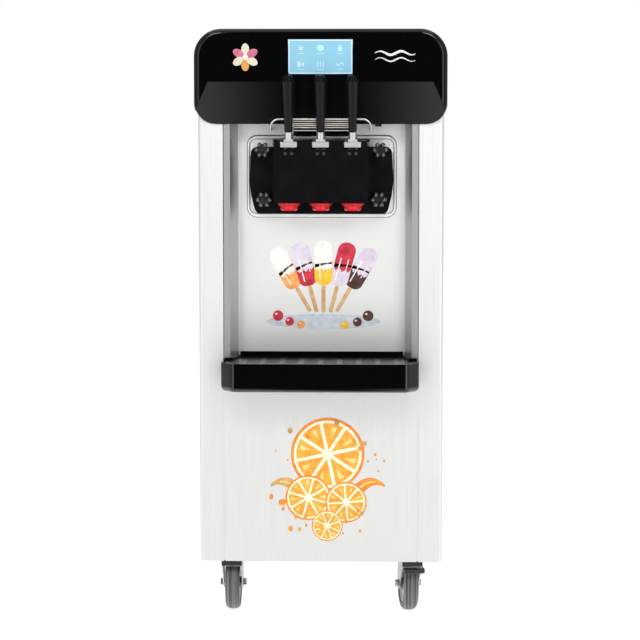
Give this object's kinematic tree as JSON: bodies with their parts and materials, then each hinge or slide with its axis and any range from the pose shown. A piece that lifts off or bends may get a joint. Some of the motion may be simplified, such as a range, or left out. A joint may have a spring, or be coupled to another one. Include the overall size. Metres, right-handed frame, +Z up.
{
  "type": "soft serve machine",
  "caption": "Floor-standing soft serve ice cream machine on casters with draw handles, drip tray, mix hoppers, freezing cylinders and a touch screen cowl.",
  "frame": {"origin": "on the floor under the centre of the machine's box", "axes": "+Z up, the front faces -Y, +X to the right seen from the front"},
  "size_m": [0.552, 0.75, 1.305],
  "materials": {
    "stainless": "fine vertical brush",
    "stainless_lid": "satin",
    "polished_steel": "polished",
    "zinc_steel": "zinc plated",
    "black_gloss": "high gloss",
    "black_door": "semi gloss",
    "black_grip": "moulded, half gloss",
    "black_matte": "moulded",
    "red_plastic": "moulded",
    "screen_glass": "lit touch screen",
    "rubber": "moulded",
    "tyre": "dark grey tread on a grey hub",
    "foam": "rigid foam",
    "clear_plastic": "moulded",
    "valve_plastic": "turned acetal",
    "beater_plastic": "moulded on a steel shaft",
    "grey_paint": "sprayed enamel",
    "black_paint": "sprayed enamel",
    "fins": "thin fins"
  },
  "bodies": {
    "cabinet": {"cabinet_frame": "zinc_steel", "left_side_panel": "stainless", "right_side_panel": "stainless", "rear_panel": "stainless", "top_panel": "stainless", "dispensing_panel": "stainless", "lower_front_panel": "stainless", "head_cowl": "black_gloss", "touch_screen": "screen_glass", "hopper_left": "stainless", "hopper_right": "stainless", "air_tubes": "clear_plastic", "freezing_cylinders": "stainless", "cylinder_insulation": "foam", "freezer_door": "black_door", "door_rim": "polished_steel", "door_gaskets": "rubber", "door_studs": "zinc_steel", "handle_pivot_pin": "polished_steel", "limit_screws": "black_matte", "micro_switch": "black_matte", "gear_motors": "grey_paint", "compressor": "black_paint", "condenser": "fins", "fan_shroud": "zinc_steel", "caster_plates": "zinc_steel", "cable_gland": "black_matte"},
    "handle_left": {"handle_lever_left": "polished_steel", "handle_grip_left": "black_grip"},
    "valve_left": {"draw_valve_left": "valve_plastic"},
    "cap_left": {"nozzle_cap_left": "red_plastic"},
    "handle_middle": {"handle_lever_middle": "polished_steel", "handle_grip_middle": "black_grip"},
    "valve_middle": {"draw_valve_middle": "valve_plastic"},
    "cap_middle": {"nozzle_cap_middle": "red_plastic"},
    "handle_right": {"handle_lever_right": "polished_steel", "handle_grip_right": "black_grip"},
    "valve_right": {"draw_valve_right": "valve_plastic"},
    "cap_right": {"nozzle_cap_right": "red_plastic"},
    "knob_upper_left": {"door_knob_upper_left": "black_grip"},
    "knob_upper_right": {"door_knob_upper_right": "black_grip"},
    "knob_lower_left": {"door_knob_lower_left": "black_grip"},
    "knob_lower_right": {"door_knob_lower_right": "black_grip"},
    "trigger": {"trigger_bar": "polished_steel"},
    "tray": {"drip_tray": "black_gloss"},
    "grid": {"tray_grid": "black_matte"},
    "lid_left": {"hopper_lid_left": "stainless_lid"},
    "dasher_left": {"beater_left": "beater_plastic"},
    "lid_right": {"hopper_lid_right": "stainless_lid"},
    "dasher_right": {"beater_right": "beater_plastic"},
    "fan": {"condenser_fan": "black_matte"},
    "fork_front_left": {"caster_fork_front_left": "zinc_steel"},
    "wheel_front_left": {"caster_wheel_front_left": "tyre"},
    "fork_front_right": {"caster_fork_front_right": "zinc_steel"},
    "wheel_front_right": {"caster_wheel_front_right": "tyre"},
    "fork_rear_left": {"caster_fork_rear_left": "zinc_steel"},
    "wheel_rear_left": {"caster_wheel_rear_left": "tyre"},
    "fork_rear_right": {"caster_fork_rear_right": "zinc_steel"},
    "wheel_rear_right": {"caster_wheel_rear_right": "tyre"},
    "brake": {"brake_pedal": "black_matte"}
  },
  "joints": [
    {"name": "handle_left_pull", "type": "hinge", "parent": "cabinet", "child": "handle_left", "pos_m": [-0.07, -0.28, 1.055], "axis": [1, 0, 0], "range_deg": [0, 65]},
    {"name": "valve_left_lift", "type": "slide", "parent": "cabinet", "child": "valve_left", "axis": [0, 0, 1], "range_m": [0, 0.0242]},
    {"name": "cap_left_turn", "type": "hinge", "parent": "cabinet", "child": "cap_left", "pos_m": [-0.07, -0.259, 0.917], "axis": [0, 0, 1], "range_deg": [0, 90]},
    {"name": "handle_middle_pull", "type": "hinge", "parent": "cabinet", "child": "handle_middle", "pos_m": [0, -0.28, 1.055], "axis": [1, 0, 0], "range_deg": [0, 65]},
    {"name": "valve_middle_lift", "type": "slide", "parent": "cabinet", "child": "valve_middle", "axis": [0, 0, 1], "range_m": [0, 0.0242]},
    {"name": "cap_middle_turn", "type": "hinge", "parent": "cabinet", "child": "cap_middle", "pos_m": [0, -0.259, 0.917], "axis": [0, 0, 1], "range_deg": [0, 90]},
    {"name": "handle_right_pull", "type": "hinge", "parent": "cabinet", "child": "handle_right", "pos_m": [0.07, -0.28, 1.055], "axis": [1, 0, 0], "range_deg": [0, 65]},
    {"name": "valve_right_lift", "type": "slide", "parent": "cabinet", "child": "valve_right", "axis": [0, 0, 1], "range_m": [0, 0.0242]},
    {"name": "cap_right_turn", "type": "hinge", "parent": "cabinet", "child": "cap_right", "pos_m": [0.07, -0.259, 0.917], "axis": [0, 0, 1], "range_deg": [0, 90]},
    {"name": "knob_upper_left_turn", "type": "hinge", "parent": "cabinet", "child": "knob_upper_left", "pos_m": [-0.13, -0.229, 1.041], "axis": [0, 1, 0], "continuous": true},
    {"name": "knob_upper_right_turn", "type": "hinge", "parent": "cabinet", "child": "knob_upper_right", "pos_m": [0.13, -0.229, 1.041], "axis": [0, 1, 0], "continuous": true},
    {"name": "knob_lower_left_turn", "type": "hinge", "parent": "cabinet", "child": "knob_lower_left", "pos_m": [-0.127, -0.229, 0.931], "axis": [0, 1, 0], "continuous": true},
    {"name": "knob_lower_right_turn", "type": "hinge", "parent": "cabinet", "child": "knob_lower_right", "pos_m": [0.127, -0.229, 0.931], "axis": [0, 1, 0], "continuous": true},
    {"name": "trigger_lift", "type": "hinge", "parent": "cabinet", "child": "trigger", "pos_m": [0, -0.1905, 1.086], "axis": [1, 0, 0], "range_deg": [-4, 0]},
    {"name": "tray_slide", "type": "slide", "parent": "cabinet", "child": "tray", "axis": [0, -1, 0], "range_m": [0, 0.2]},
    {"name": "grid_lift", "type": "slide", "parent": "tray", "child": "grid", "axis": [0, 0, 1], "range_m": [0, 0.15]},
    {"name": "lid_left_lift", "type": "slide", "parent": "cabinet", "child": "lid_left", "axis": [0, 0, 1], "range_m": [0, 0.15]},
    {"name": "beater_left_spin", "type": "hinge", "parent": "cabinet", "child": "dasher_left", "pos_m": [-0.075, 0, 0.985], "axis": [0, 1, 0], "continuous": true},
    {"name": "lid_right_lift", "type": "slide", "parent": "cabinet", "child": "lid_right", "axis": [0, 0, 1], "range_m": [0, 0.15]},
    {"name": "beater_right_spin", "type": "hinge", "parent": "cabinet", "child": "dasher_right", "pos_m": [0.075, 0, 0.985], "axis": [0, 1, 0], "continuous": true},
    {"name": "fan_spin", "type": "hinge", "parent": "cabinet", "child": "fan", "pos_m": [0, 0.284, 0.356], "axis": [0, 1, 0], "continuous": true},
    {"name": "fork_front_left_swivel", "type": "hinge", "parent": "cabinet", "child": "fork_front_left", "pos_m": [-0.2, -0.22, 0.13], "axis": [0, 0, 1], "continuous": true},
    {"name": "wheel_front_left_roll", "type": "hinge", "parent": "fork_front_left", "child": "wheel_front_left", "pos_m": [-0.2, -0.188, 0.06], "axis": [1, 0, 0], "continuous": true},
    {"name": "fork_front_right_swivel", "type": "hinge", "parent": "cabinet", "child": "fork_front_right", "pos_m": [0.2, -0.22, 0.13], "axis": [0, 0, 1], "continuous": true},
    {"name": "wheel_front_right_roll", "type": "hinge", "parent": "fork_front_right", "child": "wheel_front_right", "pos_m": [0.19555, -0.18831, 0.06], "axis": [0.9903, 0.1392, 0], "continuous": true},
    {"name": "fork_rear_left_swivel", "type": "hinge", "parent": "cabinet", "child": "fork_rear_left", "pos_m": [-0.2, 0.278, 0.13], "axis": [0, 0, 1], "continuous": true},
    {"name": "wheel_rear_left_roll", "type": "hinge", "parent": "fork_rear_left", "child": "wheel_rear_left", "pos_m": [-0.2, 0.31, 0.06], "axis": [1, 0, 0], "continuous": true},
    {"name": "fork_rear_right_swivel", "type": "hinge", "parent": "cabinet", "child": "fork_rear_right", "pos_m": [0.2, 0.278, 0.13], "axis": [0, 0, 1], "continuous": true},
    {"name": "wheel_rear_right_roll", "type": "hinge", "parent": "fork_rear_right", "child": "wheel_rear_right", "pos_m": [0.2, 0.31, 0.06], "axis": [1, 0, 0], "continuous": true},
    {"name": "brake_press", "type": "hinge", "parent": "fork_front_right", "child": "brake", "pos_m": [0.2, -0.22, 0.1035], "axis": [0.9903, 0.1392, 0], "range_deg": [0, 12]}
  ],
  "couplings": [
    {"joint": "valve_left_lift", "follows": "handle_left_pull", "m_per_rad": 0.02131},
    {"joint": "valve_middle_lift", "follows": "handle_middle_pull", "m_per_rad": 0.02131},
    {"joint": "valve_right_lift", "follows": "handle_right_pull", "m_per_rad": 0.02131}
  ]
}
